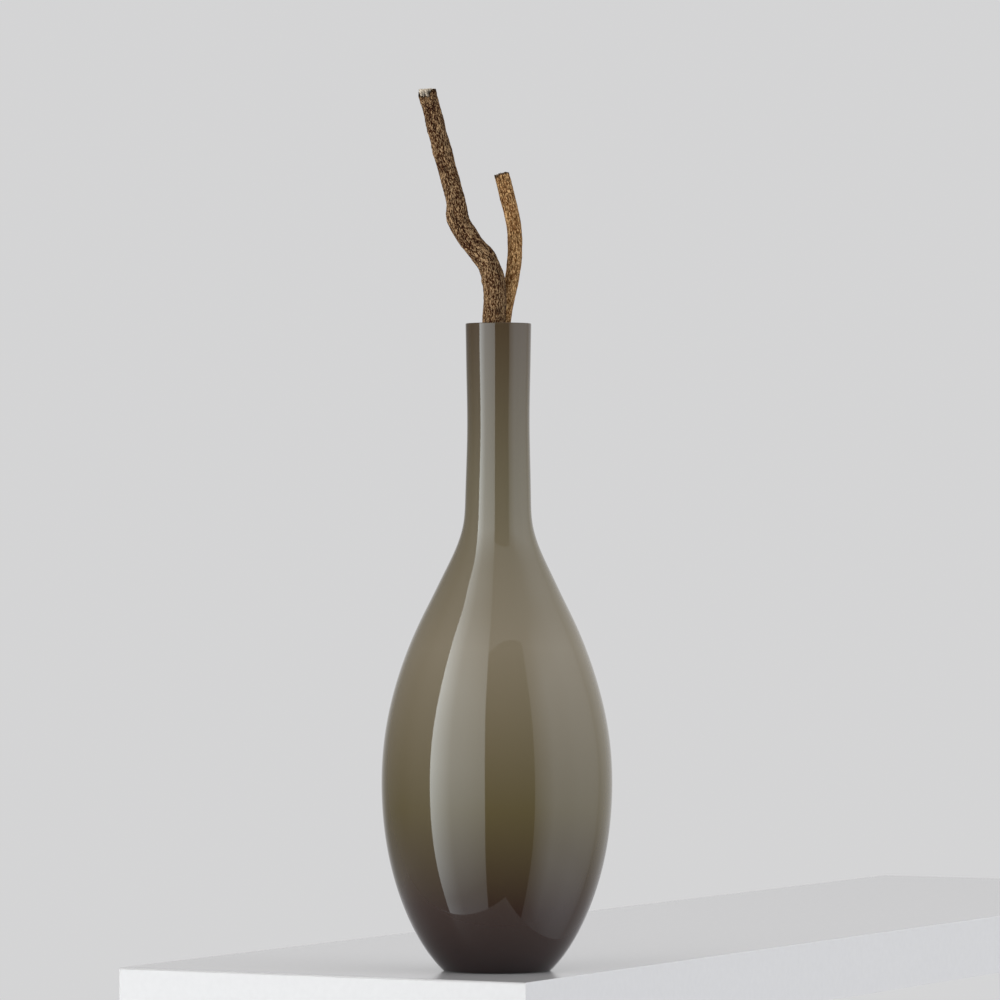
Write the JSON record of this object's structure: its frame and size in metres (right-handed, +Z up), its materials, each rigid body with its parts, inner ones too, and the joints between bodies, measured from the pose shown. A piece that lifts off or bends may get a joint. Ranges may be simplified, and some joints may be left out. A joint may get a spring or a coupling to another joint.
{
  "type": "vase",
  "caption": "Cased glass bottle vase with an egg-shaped belly, tall narrow neck and flat ground foot, holding loose dried branches.",
  "frame": {"origin": "on the vase's axis, in the plane of the ground ring that it stands on", "axes": "+Z up along the vase's axis, -Y towards the viewer at the front, the taller branch leaning towards -X"},
  "size_m": [0.1426, 0.1426, 0.5457],
  "materials": {
    "taupe_glass": "smooth blown taupe-brown tinted glass, high gloss, paler over the belly and dark at the solid heel",
    "opal_glass": "opaque warm white opal glass, high gloss",
    "bark": "dry fibrous brown bark with golden flecks along the grain, matte",
    "cut_wood": "pale dry heartwood, rough cut ends, matte"
  },
  "bodies": {
    "vase": {"glass_casing": "taupe_glass", "opal_lining": "opal_glass"},
    "main_branch": {"main_branch_bark": "bark", "main_branch_wood": "cut_wood"},
    "side_branch": {"side_branch_bark": "bark", "side_branch_wood": "cut_wood"}
  },
  "joints": [
    {"name": "main_branch_lift", "type": "slide", "parent": "vase", "child": "main_branch", "axis": [0, 0, 1], "range_m": [0, 0.4]},
    {"name": "side_branch_lift", "type": "slide", "parent": "vase", "child": "side_branch", "axis": [0, 0, 1], "range_m": [0, 0.4]}
  ]
}
